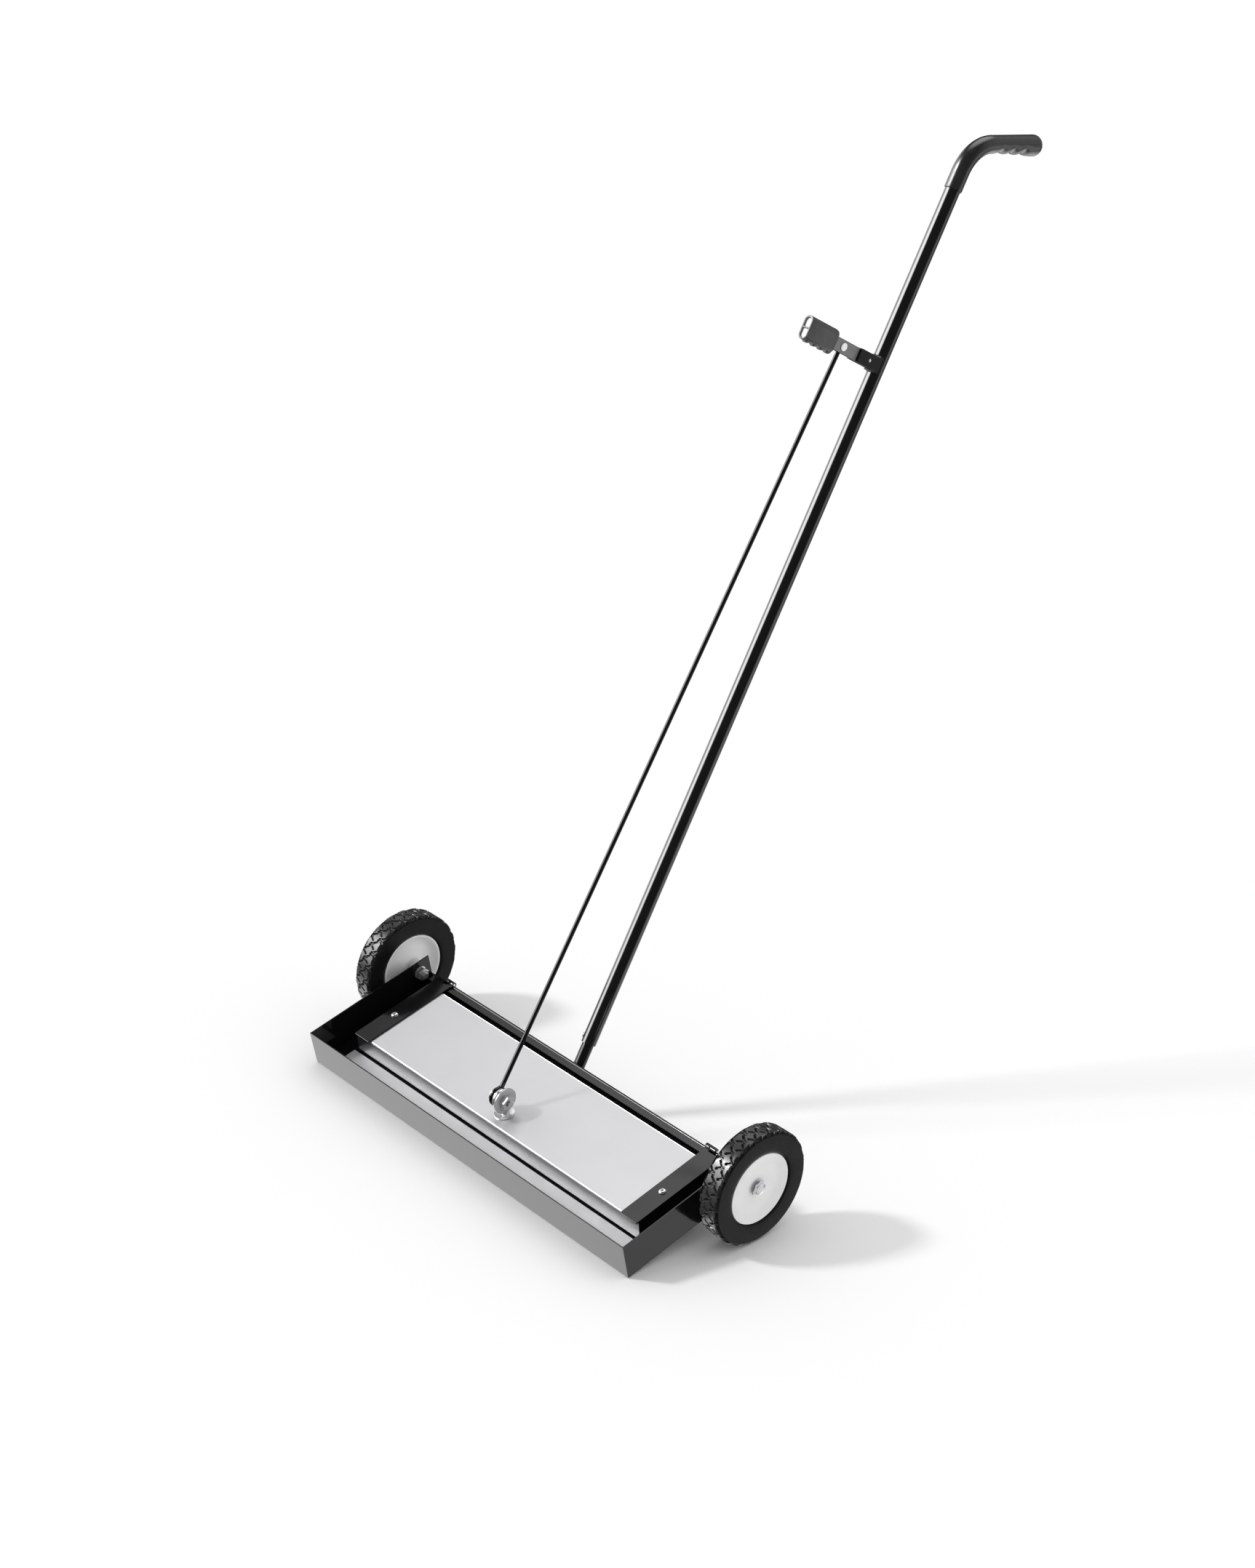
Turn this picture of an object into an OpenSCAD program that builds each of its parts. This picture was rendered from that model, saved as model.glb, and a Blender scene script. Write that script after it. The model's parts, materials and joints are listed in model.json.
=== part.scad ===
// Magnetic nail sweeper: a wheeled steel tray holds a hinged magnet unit. Pulling the finger
// lever on the long handle draws a rod that lifts the unit, so the nails it holds drop off.
// Lengths are in millimetres. X runs across the machine, Y to the rear and Z up from the ground.
// The machine stands on its two tyres and on the bottom edge of the tray's front wall.

/* [Wheels] */
// Radius of each tyre
wheel_r = 76.5; // [60:0.5:110]
// Distance from the middle of the machine to the inner face of each tyre
tyre_in = 318; // [312:1:330]
// Width of each tyre
tyre_w = 31.4; // [25:0.2:45]
// Radius of the hub where the tyre sits on it
hub_r = 48; // [35:0.5:58]
// Diameter of the axle bolts
axle_d = 10; // [8:0.5:12]

/* [Tray] */
// Outside width of the tray
tray_w = 610; // [500:1:620]
// Distance of the front wall's outer face ahead of the axle
tray_front = 185.5; // [150:0.5:230]
// Distance of the rear wall's outer face behind the axle
tray_rear = 11.6; // [11:0.1:14]
// Distance of the side walls' rear edge behind the axle
ear_rear = 18.5; // [15:0.5:30]
// Depth of the tray's underside below the axle
tray_drop = 34; // [32:0.5:45]
// Height of the front and side walls' top edge above the axle
wall_top = 17.5; // [12:0.5:30]
// Thickness of the tray's sheet steel
sheet = 1.5; // [1:0.1:2]

/* [Magnet unit] */
// Half the width of the whole unit over its end caps
unit_half = 274.5; // [200:0.5:276]
// Distance of the cover's front face ahead of the axle
unit_front = 136; // [120:0.5:150]
// Distance of the cover's rear edge ahead of the axle
unit_rear = 8; // [6:0.5:20]
// Height of the cover's top face below the axle
unit_top = 0.8; // [0.5:0.1:2]
// Thickness of the steel back bar behind the magnets
back_bar_t = 5; // [3:0.5:8]
// Length of one bar magnet
magnet_l = 110; // [60:1:112]
// Width of one bar magnet
magnet_w = 40; // [25:1:45]
// Width of each end cap seen from above
cap_w = 29.5; // [20:0.5:40]

/* [Handle] */
// Outside diameter of the handle tube
tube_d = 20; // [18:0.5:25]
// Wall of the handle tube
tube_wall = 1.8; // [1:0.1:1.8]
// Lean of the handle from the tray's floor, in degrees
lean = 48.33; // [40:0.1:60]
// Length from the tube's lower end to the corner of the top bend
bend_at = 1235; // [1100:1:1300]
// Angle the top of the handle turns to the rear, in degrees
bend_turn = 70; // [45:1:90]
// Radius of the top bend at the tube's axis
bend_r = 55; // [40:1:70]
// Length of the grip from the bend's corner to its tip
grip_reach = 130; // [110:1:160]

/* [Lever] */
// Distance of the lever along the handle tube
lever_at = 938.4; // [800:0.1:1000]
// Distance of the lever's pivot in front of the tube's axis
pivot_out = 29.6; // [26:0.1:36]
// Distance of the rod pin in front of the tube's axis
rod_pin_out = 82; // [70:0.1:90]
// Distance of the lever grip's outer end in front of the tube's axis
lever_out = 157; // [140:1:170]
// Diameter of the pull rod
rod_d = 6; // [4:0.5:6]

/* [Hidden] */
$fn = 64;

// Ground line: the tray tips forward until its front bottom bend meets the ground
fold_r = 3;
nose_y = tray_front - fold_r;
nose_z = tray_drop - fold_r;
pitch = asin((wheel_r - fold_r) / sqrt(nose_y * nose_y + nose_z * nose_z)) - atan(nose_z / nose_y);
// Shift that puts the middle of the machine's footprint at the origin
frame_y = -278.53;

// Tray
in_w = tray_w / 2 - sheet;
ring_end = 22;
ring_side = 35;
floor_t = 1.2;
floor_half = 282;
floor_edge = 0.3;
bead_d = 4.3;
lip_drop = 1.2;
lip_front = -1;
lip_half = 286;

// Hinges of the magnet unit, on the rear wall's top edge
hinge_y = 11;
hinge_z = 1;
knuckle_d = 7.5;
knuckle_in = 243.4;
knuckle_split = 252.2;
knuckle_out = 261;
knuckle_gap = 0.4;
pin_d = 4;
pin_fit = 0.05;
leaf_t = 1.5;
leaf_drop = 17;

// Magnet unit
unit_sheet = 1.5;
cover_half = 271;
cover_skirt = 27.3;
cover_bend = 4;
bar_front = 126;
bar_back = 18;
bar_half = 240;
magnet_gap = 20;
row_front = 104;
row_back = 40;
magnet_base = 30.9;
cap_t = 2.2;
cap_side_t = 2;
cap_over = 1.5;
cap_skirt = 30.5;
cap_rear = 4.8;
cap_corner = 5;
cap_screw_x = 260;
cap_screw_y = 80;

// Eye bolt and the cross bolt that carries the rod's lower eye
eye_y = -110.5;
eye_z = 24;
eye_wire = 7;
eye_od = 28;
shank_d = 8;
cross_d = 10;
loop_x = -7.5;
loop_od = 27;

// Handle foot
foot_y = 37.6;
foot_z = 14.4;
stub_d = 16;
stub_wall = 1.6;
stub_in = 110;
button_at = 8.5;
button_d = 6;
button_turn = -45;

// Grip
grip_from = 1174;
grip_d = 23.2;
grip_end_d = 27.6;
bend_leg = bend_r * tan(bend_turn / 2);
lap = 1;
seam = 0.3;
grip_fit = 0.7;
notch_r = 5;
notch_out = 15.8;
notches = [51.3, 73, 94.9];

// Lever
bracket_out = 51.5;
bracket_w = 18;
bracket_h = 17.5;
bracket_web = 12.5;
channel_w = 10;
channel_h = 16.5;
channel_t = 1.6;
channel_from = 14.7;
channel_to = 146;
pivot_d = 4.5;
rod_pin_d = 5;
lever_grip_from = 98;
lever_grip_h = 31;
lever_grip_w = 14;
core_wall = 2;
core_web = 1.6;
bump_r = 5;

// Axle line, measured from the middle of the machine
nut_in = 294.5;
nut_out = 302;
hub_in = 320.5;
hub_out = 340.8;
hub_play = 0.3;
bush_d = 14;
bush_fit = 0.06;

black = [0.05, 0.05, 0.05];
zinc = [0.75, 0.76, 0.78];
grey = [0.45, 0.46, 0.48];
white = [0.93, 0.93, 0.92];

// ---- frames ----

// The chassis frame has its origin on the axle, Y along the tray floor and Z square to it
module chassis() {
    translate([0, frame_y, wheel_r]) rotate([pitch, 0, 0]) children();
}

// Along the handle: Z runs up the tube from its lower end and -Y is the lever's side
module on_tube() {
    chassis() translate([0, foot_y, foot_z]) rotate([lean - 90, 0, 0]) children();
}

// At the corner of the top bend, with Z along the grip
module on_grip() {
    on_tube() translate([0, 0, bend_at]) rotate([-bend_turn, 0, 0]) children();
}

// A 2D outline in Y and Z made into a solid that runs along X from x0 to x1
module along_x(x0, x1) {
    translate([x0, 0, 0]) rotate([90, 0, 90]) linear_extrude(x1 - x0) children();
}

// A round bar or disc along X
module rod_x(x0, x1, d) {
    translate([x0, 0, 0]) rotate([0, 90, 0]) cylinder(h = x1 - x0, d = d);
}

module ring_x(x0, x1, d, bore) {
    difference() {
        rod_x(x0, x1, d);
        rod_x(x0 - 1, x1 + 1, bore);
    }
}

// A six-sided prism along X, measured across its flats
module hex_x(x0, x1, flats) {
    translate([x0, 0, 0]) rotate([0, 90, 0]) cylinder(h = x1 - x0, d = flats / cos(30), $fn = 6);
}

// The same thing on both sides of the machine
module both_sides() {
    children();
    mirror([1, 0, 0]) children();
}

// Quarter bend of sheet metal in the first quadrant
module bend_2d(r, t) {
    intersection() {
        difference() {
            circle(r);
            circle(r - t);
        }
        square(r);
    }
}

// ---- tray ----

// Front wall and the flange it turns into under the floor
module front_outline() {
    translate([-tray_front, -tray_drop + fold_r]) square([sheet, wall_top + tray_drop - fold_r]);
    translate([-tray_front + fold_r, -tray_drop + fold_r]) rotate(180) bend_2d(fold_r, sheet);
    translate([-tray_front + fold_r, -tray_drop]) square([ring_end - fold_r, sheet]);
}

// Rear wall below its rolled edge
module rear_outline() {
    translate([tray_rear - sheet, -tray_drop + fold_r])
        square([sheet, tray_drop - fold_r - bead_d / 2]);
    translate([tray_rear - fold_r, -tray_drop + fold_r]) rotate(-90) bend_2d(fold_r, sheet);
    translate([tray_rear - ring_end, -tray_drop]) square([ring_end - fold_r, sheet]);
}

// Rolled edge and the lip that points forward from it
module lip_outline() {
    translate([tray_rear - bead_d / 2, -bead_d / 2]) circle(d = bead_d);
    translate([lip_front, -lip_drop - sheet])
        square([tray_rear - bead_d / 2 - lip_front, sheet]);
}

module side_wall() {
    translate([in_w, -tray_front, -tray_drop + sheet])
        cube([sheet, tray_front + ear_rear, wall_top + tray_drop - sheet]);
    translate([tray_w / 2 - ring_side, -tray_front + fold_r, -tray_drop])
        cube([ring_side - sheet / 2, tray_front + tray_rear - 2 * fold_r, sheet]);
}

module tray_pan() {
    color(black) chassis() difference() {
        union() {
            along_x(-in_w - 0.5, in_w + 0.5) front_outline();
            along_x(-in_w - 0.5, in_w + 0.5) rear_outline();
            along_x(-lip_half, lip_half) lip_outline();
            both_sides() side_wall();
        }
        both_sides() {
            rod_x(in_w - 2, tray_w / 2 + 2, axle_d + 0.4);
            hinge_notch();
        }
    }
}

// Gap in the rear wall's edge for one hinge
module hinge_notch() {
    translate([knuckle_in - 1, hinge_y - 5, hinge_z - 4.2])
        cube([knuckle_out - knuckle_in + 3.2, 8, 6]);
}

module floor_plate() {
    color(grey) chassis() translate([-floor_half, -tray_front + fold_r + floor_edge, -tray_drop + sheet])
        cube([2 * floor_half, tray_front + tray_rear - 2 * fold_r - 2 * floor_edge, floor_t]);
}

// ---- hinges ----

module at_hinge() {
    chassis() translate([0, hinge_y, hinge_z]) children();
}

// Outer knuckles with leaves welded to the rear wall's outer face
module hinge_knuckles() {
    color(black) at_hinge() both_sides() difference() {
        union() {
            rod_x(knuckle_split + knuckle_gap, knuckle_out, knuckle_d);
            translate([knuckle_split + knuckle_gap, tray_rear - hinge_y, -leaf_drop])
                cube([knuckle_out - knuckle_split - knuckle_gap, leaf_t, leaf_drop]);
        }
        rod_x(knuckle_split - 1, knuckle_out + 1, pin_d);
    }
}

module hinge_pins() {
    color(zinc) at_hinge() both_sides() {
        rod_x(knuckle_in + 0.2, knuckle_out + 1, pin_d);
        translate([knuckle_out + 1, 0, 0]) rotate([0, 90, 0]) cylinder(h = 0.8, d1 = pin_d, d2 = 2.4);
    }
}

// ---- magnet unit ----

// Cover: a wide channel that opens downward, with a rounded front bend and a front skirt that
// runs on under the end caps
module magnet_cover() {
    depth = unit_front - unit_rear;
    color(zinc) chassis() difference() {
        union() {
            cover_channel(depth);
            along_x(-unit_half, unit_half) translate([-unit_front, -cover_skirt])
                square([unit_sheet, cover_skirt - unit_top - cover_bend]);
        }
        translate([0, eye_y, -cover_skirt]) cylinder(h = cover_skirt + 5, d = shank_d);
        both_sides() translate([cap_screw_x, -cap_screw_y, -10]) cylinder(h = 20, d = 5);
    }
}

module cover_channel(depth) {
    along_x(-cover_half, cover_half) difference() {
        union() {
            translate([-unit_front + cover_bend, -unit_top - cover_bend]) circle(cover_bend);
            translate([-unit_front + cover_bend, -cover_skirt])
                square([depth - cover_bend, cover_skirt - unit_top]);
            translate([-unit_front, -cover_skirt])
                square([depth, cover_skirt - unit_top - cover_bend]);
        }
        translate([-unit_front + cover_bend, -unit_top - cover_bend])
            circle(cover_bend - unit_sheet);
        translate([-unit_front + cover_bend, -cover_skirt - 1])
            square([depth - cover_bend - unit_sheet, cover_skirt + 1 - unit_top - unit_sheet]);
        translate([-unit_front + unit_sheet, -cover_skirt - 1])
            square([depth - 2 * unit_sheet, cover_skirt + 1 - unit_top - cover_bend]);
    }
}

module magnet_back_bar() {
    top = unit_top + unit_sheet;
    color(grey) chassis() difference() {
        translate([-bar_half, -bar_front, -top - back_bar_t])
            cube([2 * bar_half, bar_front - bar_back, back_bar_t]);
        translate([0, eye_y, -20]) cylinder(h = 30, d = shank_d);
    }
}

// Two rows of four ceramic bars with a gap in the middle for the eye bolt's nut
module bar_magnets() {
    top = unit_top + unit_sheet + back_bar_t;
    color([0.15, 0.15, 0.16]) chassis() for (row = [row_front, row_back], i = [0, 1])
        both_sides() translate([magnet_gap / 2 + i * (magnet_l + 2), -row - magnet_w / 2, -magnet_base])
            cube([magnet_l, magnet_w, magnet_base - top]);
}

// End cap with a side skirt and the hinge knuckle that carries the unit
module end_cap_shape() {
    inner = unit_half - cap_w;
    front = unit_front + cap_over;
    difference() {
        union() {
            translate([inner, -front, -unit_top]) cube([cap_w, front + cap_rear - cap_corner, cap_t]);
            translate([inner, -front, -unit_top]) cube([cap_w - cap_corner, front + cap_rear, cap_t]);
            translate([unit_half - cap_corner, cap_rear - cap_corner, -unit_top])
                cylinder(h = cap_t, r = cap_corner);
            translate([unit_half - cap_side_t, -unit_front + unit_sheet + 0.1, -cap_skirt])
                cube([cap_side_t, unit_front - unit_sheet - 2.6, cap_skirt - unit_top + 1]);
            translate([knuckle_in, cap_rear - 2, -unit_top])
                cube([knuckle_split - knuckle_in, hinge_y - cap_rear + 2, cap_t]);
            translate([0, hinge_y, hinge_z]) rod_x(knuckle_in, knuckle_split, knuckle_d);
        }
        translate([0, hinge_y, hinge_z]) rod_x(knuckle_in - 1, knuckle_split + 1, pin_d + 2 * pin_fit);
        translate([cap_screw_x, -cap_screw_y, -10]) cylinder(h = 20, d = 5);
    }
}

module end_cap_left() {
    color(black) chassis() mirror([1, 0, 0]) end_cap_shape();
}

module end_cap_right() {
    color(black) chassis() end_cap_shape();
}

// Button-head socket screws that hold the end caps
module cap_screws() {
    color(zinc) chassis() both_sides() translate([cap_screw_x, -cap_screw_y, 0]) difference() {
        union() {
            translate([0, 0, -9]) cylinder(h = 12, d = 5);
            translate([0, 0, cap_t - unit_top]) cylinder(h = 1, d = 10);
            translate([0, 0, cap_t - unit_top + 1]) cylinder(h = 1.8, d1 = 10, d2 = 6);
        }
        translate([0, 0, cap_t - unit_top + 1]) cylinder(h = 3, d = 3.5, $fn = 6);
    }
}

module cap_nuts() {
    color(zinc) chassis() both_sides()
        translate([cap_screw_x, -cap_screw_y, -unit_top - unit_sheet - 4]) difference() {
            cylinder(h = 4, d = 8 / cos(30), $fn = 6);
            translate([0, 0, -1]) cylinder(h = 6, d = 5);
        }
}

// ---- eye bolt and rod ----

module at_eye() {
    chassis() translate([0, eye_y, eye_z]) children();
}

// A ring of round wire that lies square to X
module wire_ring(od, wire) {
    rotate([0, 90, 0]) rotate_extrude() translate([od / 2 - wire / 2, 0]) circle(d = wire);
}

module eye_bolt() {
    color(zinc) at_eye() {
        wire_ring(eye_od, eye_wire);
        difference() {
            translate([0, 0, -eye_z - 16]) cylinder(h = eye_z + 16 - eye_od / 2 + 1.6, d = shank_d);
            wire_ring(eye_od, eye_wire - 0.2);
        }
    }
}

module eye_base_washer() {
    color(zinc) at_eye() translate([0, 0, -eye_z - unit_top]) difference() {
        cylinder(h = 2, d = 27.5);
        translate([0, 0, -1]) cylinder(h = 4, d = shank_d);
    }
}

module eye_nut() {
    top = unit_top + unit_sheet + back_bar_t;
    color(zinc) at_eye() translate([0, 0, -eye_z - top - 6.5]) difference() {
        cylinder(h = 6.5, d = 13 / cos(30), $fn = 6);
        translate([0, 0, -1]) cylinder(h = 9, d = shank_d);
    }
}

module cross_bolt() {
    color(zinc) at_eye() {
        rod_x(-13, 17, cross_d);
        translate([17, 0, 0]) rotate([0, 90, 0]) cylinder(h = 1, d1 = cross_d, d2 = cross_d - 2);
        hex_x(-17.6, -12.2, 16);
    }
}

// From +X: wide washer, thick washer, thin washer beside the eye, washer under the head
module cross_washers() {
    color(zinc) at_eye() {
        ring_x(5.7, 7.7, 30, cross_d);
        ring_x(3.6, 5.7, 22, cross_d);
        ring_x(-4.3, -3.6, 24, cross_d);
        ring_x(-12.2, -10.8, 22, cross_d);
    }
}

module cross_nut() {
    color(zinc) at_eye() difference() {
        hex_x(7.7, 15.2, 16);
        rod_x(7, 16, cross_d);
    }
}

// The pull rod leans a little sideways: from beside the eye bolt to the middle of the lever
module pull_rod() {
    pin_y = foot_y + lever_at * cos(lean) - rod_pin_out * sin(lean);
    pin_z = foot_z + lever_at * sin(lean) + rod_pin_out * cos(lean);
    run = [-loop_x, pin_y - eye_y, pin_z - eye_z];
    flat = sqrt(run[1] * run[1] + run[2] * run[2]);
    len = sqrt(run[0] * run[0] + flat * flat);
    color(black) {
        at_eye() translate([loop_x, 0, 0]) {
            wire_ring(loop_od, rod_d);
            rotate([-atan2(run[1], run[2]), 0, 0]) rotate([0, atan2(run[0], flat), 0])
                translate([0, 0, loop_od / 2 - rod_d / 2]) cylinder(h = len - loop_od / 2 - rod_d / 2, d = rod_d);
        }
        chassis() translate([0, pin_y, pin_z]) ring_x(-2.8, 2.8, 12, rod_pin_d + 0.1);
    }
}

// ---- handle ----

// Tube stub butt-welded to the rear wall's outer face; the handle tube slides over it
module handle_stub() {
    reach = (foot_y - tray_rear) / cos(lean);
    color(black) difference() {
        on_tube() difference() {
            translate([0, 0, -reach - 20]) cylinder(h = reach + 20 + stub_in, d = stub_d);
            translate([0, 0, -reach - 21]) cylinder(h = reach + 22 + stub_in, d = stub_d - 2 * stub_wall);
            button_line() translate([0, 0, 4]) cylinder(h = 8, d = button_d + 0.3);
        }
        chassis() translate([-30, tray_rear - 80, -80]) cube([60, 80, 120]);
    }
}

// Z points out of the tube along the snap button
module button_line() {
    translate([0, 0, button_at]) rotate([0, 0, button_turn]) rotate([90, 0, 0]) children();
}

// The hollow bend, slightly thicker than the straight lengths that run into its ends
module bend_sweep(d, bore) {
    translate([0, bend_r, bend_at - bend_leg]) rotate([90, 0, -90])
        rotate_extrude(angle = bend_turn) translate([bend_r, 0]) difference() {
            circle(d = d + seam);
            circle(d = bore - seam);
        }
}

module hollow(from, to, d, bore) {
    translate([0, 0, from]) linear_extrude(to - from) difference() {
        circle(d = d);
        circle(d = bore);
    }
}

module handle_tube() {
    bore = tube_d - 2 * tube_wall;
    color(black) {
        on_tube() difference() {
            hollow(0, bend_at - bend_leg + lap, tube_d, bore);
            button_line() translate([0, 0, 6]) cylinder(h = 8, d = button_d + 0.6);
        }
        on_tube() bend_sweep(tube_d, bore);
        on_grip() hollow(bend_leg - lap, grip_reach - 22, tube_d, bore);
    }
}

module snap_button() {
    color(zinc) on_tube() button_line() {
        translate([0, 0, 3.4]) cylinder(h = 7.4, d = button_d);
        translate([0, 0, 10.8]) cylinder(h = 1.4, d1 = button_d, d2 = 3.4);
        translate([0, 0, 3.4]) cylinder(h = 1, d = 8);
    }
}

// Flat V spring inside the stub: one leg behind the button, the other on the far wall
module button_spring() {
    color(zinc) on_tube() button_line() {
        translate([-2.5, -4, 2.8]) cube([5, 8, 0.6]);
        translate([-2.5, 3.8, 2.8]) rotate([-8, 0, 0]) cube([5, 24, 0.6]);
        translate([-2.5, -4, -5.6]) cube([5, 8, 0.6]);
        translate([-2.5, 3.8, -5.6]) rotate([8, 0, 0]) cube([5, 24, 0.6]);
        translate([-2.5, 27.4, -1.4]) rotate([0, 90, 0]) cylinder(h = 5, d = 4.4);
    }
}

// Outline of the grip's straight part from its bore out, with a rounded tip
module grip_outline() {
    cap_z = grip_reach - grip_end_d / 2 + 4;
    bore_r = (tube_d + grip_fit) / 2;
    polygon([
        [bore_r, bend_leg - lap], [grip_d / 2, bend_leg - lap], [grip_end_d / 2, cap_z],
        [0, cap_z], [0, grip_reach - 22], [bore_r, grip_reach - 22]]);
    intersection() {
        translate([0, cap_z]) circle(d = grip_end_d);
        translate([0, cap_z - 1]) square([grip_end_d, grip_end_d / 2 - 3]);
        union() {
            translate([0, cap_z]) square(grip_end_d);
            square([grip_end_d / 2 - 1, grip_reach]);
        }
    }
}

module handle_grip() {
    color(black) {
        on_tube() hollow(grip_from, bend_at - bend_leg + lap, grip_d, tube_d + grip_fit);
        on_tube() bend_sweep(grip_d, tube_d + grip_fit);
        on_grip() difference() {
            rotate_extrude() grip_outline();
            for (n = notches) translate([0, notch_out, n]) rod_x(-20, 20, 2 * notch_r);
        }
    }
}

// ---- lever ----

module at_lever() {
    on_tube() translate([0, 0, lever_at]) children();
}

// Clevis welded to the front of the handle tube
module lever_bracket() {
    color(black) at_lever() difference() {
        union() {
            translate([-bracket_w / 2, -bracket_out, -bracket_h / 2])
                cube([bracket_w, bracket_out, bracket_h]);
            translate([-bracket_w / 2, -tube_d / 2 - 2, -bracket_h / 2 - 2])
                cube([bracket_w, tube_d / 2 + 2, bracket_h + 4]);
        }
        translate([0, 0, -40]) cylinder(h = 80, d = tube_d);
        translate([-20, 0, -20]) cube([40, 20, 40]);
        translate([-channel_w / 2 - 0.3, -bracket_out - 1, -20])
            cube([channel_w + 0.6, bracket_out + 1 - bracket_web, 40]);
        translate([0, -pivot_out, 0]) rod_x(-20, 20, pivot_d);
    }
}

module lever_pivot_pin() {
    color(zinc) at_lever() translate([0, -pivot_out, 0]) {
        rod_x(-bracket_w / 2 - 0.6, bracket_w / 2 + 0.2, pivot_d);
        translate([bracket_w / 2 + 0.2, 0, 0]) rotate([0, 90, 0]) cylinder(h = 0.6, d1 = pivot_d, d2 = 3);
    }
}

// Steel channel, open on its underside for the pull rod
module lever_bar() {
    color(grey) at_lever() difference() {
        translate([-channel_w / 2, -channel_to, -channel_h / 2])
            cube([channel_w, channel_to - channel_from, channel_h]);
        translate([-channel_w / 2 + channel_t, -channel_to - 1, -channel_h / 2 - 1])
            cube([channel_w - 2 * channel_t, channel_to - channel_from + 2, channel_h + 1 - channel_t]);
        translate([0, -pivot_out, 0]) rod_x(-20, 20, pivot_d + 0.1);
        translate([0, -rod_pin_out, 0]) rod_x(-20, 20, rod_pin_d);
    }
}

module rod_pin() {
    color(zinc) at_lever() translate([0, -rod_pin_out, 0]) {
        rod_x(-channel_w / 2 - 0.2, channel_w / 2 + 0.6, rod_pin_d);
        rod_x(-channel_w / 2 - 1.6, -channel_w / 2, 8);
    }
}

module rod_pin_cap() {
    color(white) at_lever() translate([0, -rod_pin_out, 0]) difference() {
        rod_x(channel_w / 2, channel_w / 2 + 2, 10.4);
        rod_x(channel_w / 2 - 1, channel_w / 2 + 0.6, rod_pin_d);
    }
}

// Oval outline of the lever's grip, long way along the handle
module oval(h, w) {
    square([w, h - w], center = true);
    translate([0, (h - w) / 2]) circle(d = w);
    translate([0, -(h - w) / 2]) circle(d = w);
}

// Solid that runs outward along the lever between two distances from the tube's axis
module along_lever(from, to) {
    translate([0, -from, 0]) rotate([90, 0, 0]) linear_extrude(to - from) children();
}

// The two D-shaped openings on either side of the grip's web
module core_outline() {
    difference() {
        oval(lever_grip_h - 2 * core_wall, lever_grip_w - 2 * core_wall);
        square([lever_grip_w, core_web], center = true);
    }
}

module lever_grip() {
    lower = lever_grip_h / 2 - lever_grip_w / 2;
    color(black) at_lever() difference() {
        union() {
            along_lever(lever_grip_from, lever_out) oval(lever_grip_h, lever_grip_w);
            for (out = [103, 117.5, 132, 147.5])
                translate([0, -out, -lower - 3.5]) rotate([0, 90, 0])
                    cylinder(h = lever_grip_w - 5, r = bump_r, center = true);
        }
        along_lever(lever_grip_from + 2, lever_out + 1) core_outline();
        translate([-channel_w / 2, -channel_to, -channel_h / 2])
            cube([channel_w, channel_to - lever_grip_from + 1, channel_h]);
    }
}

// Light core of the lever's grip, seen in its open end
module grip_core() {
    color(white) at_lever() difference() {
        along_lever(lever_grip_from + 2, lever_out - 0.8) core_outline();
        translate([-channel_w / 2 - 1, -channel_to, -channel_h / 2])
            cube([channel_w + 2, channel_to - lever_grip_from, channel_h]);
    }
}

// ---- wheels ----

// Turns an outline of radius and distance from the middle about the axle
module turned() {
    rotate([0, 90, 0]) rotate_extrude() children();
}

module tyre_shape() {
    out = tyre_in + tyre_w;
    shoulder = 5;
    turned() {
        translate([hub_r, tyre_in + 1.2]) square([wheel_r - hub_r - shoulder, tyre_w - 2.4]);
        translate([hub_r + 4, tyre_in]) square([wheel_r - hub_r - shoulder - 4, tyre_w]);
        translate([wheel_r - shoulder - 1, tyre_in + shoulder]) square([shoulder + 1, tyre_w - 2 * shoulder]);
        translate([wheel_r - shoulder, tyre_in + shoulder]) circle(shoulder);
        translate([wheel_r - shoulder, out - shoulder]) circle(shoulder);
    }
}

// Dished hub with rolled rims and a short boss on its inner face
module hub_shape() {
    turned() polygon([
        [bush_d / 2, hub_in], [14, hub_in], [17, hub_in + 2.5], [36, hub_in + 7],
        [44, hub_in + 1.4], [46, hub_in - 1], [47.4, hub_in - 1.2], [hub_r, hub_in],
        [hub_r, tyre_in + 28.6], [47.2, tyre_in + 29.8], [45.8, tyre_in + 29.8], [44.4, tyre_in + 28.6],
        [38, hub_out + 2.6], [30, hub_out + 0.8], [13, hub_out], [bush_d / 2, hub_out]]);
}

module bushing_shape() {
    ring_x(hub_in, hub_out, bush_d, axle_d + 2 * bush_fit);
}

module tyre_right() {
    color(black) chassis() tyre_shape();
}

module hub_right() {
    color(white) chassis() hub_shape();
}

module bushing_right() {
    color(grey) chassis() bushing_shape();
}

module tyre_left() {
    color(black) chassis() mirror([1, 0, 0]) tyre_shape();
}

module hub_left() {
    color(white) chassis() mirror([1, 0, 0]) hub_shape();
}

module bushing_left() {
    color(grey) chassis() mirror([1, 0, 0]) bushing_shape();
}

// Flanged hex bolts that the wheels turn on
module axle_bolts() {
    head = hub_out + hub_play + 1.2;
    color(zinc) chassis() both_sides() {
        rod_x(nut_in - 3.5, head, axle_d);
        translate([nut_in - 4.5, 0, 0]) rotate([0, 90, 0]) cylinder(h = 1, d1 = axle_d - 2, d2 = axle_d);
        rod_x(head, head + 1.8, 20);
        hex_x(head + 1.8, head + 6.6, 15);
    }
}

module axle_spacers() {
    color(zinc) chassis() both_sides() ring_x(tray_w / 2, hub_in - hub_play, 16, axle_d);
}

module axle_washers() {
    color(zinc) chassis() both_sides() {
        ring_x(hub_out + hub_play, hub_out + hub_play + 1.2, 22, axle_d);
        ring_x(nut_out, in_w, 19, axle_d);
    }
}

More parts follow.
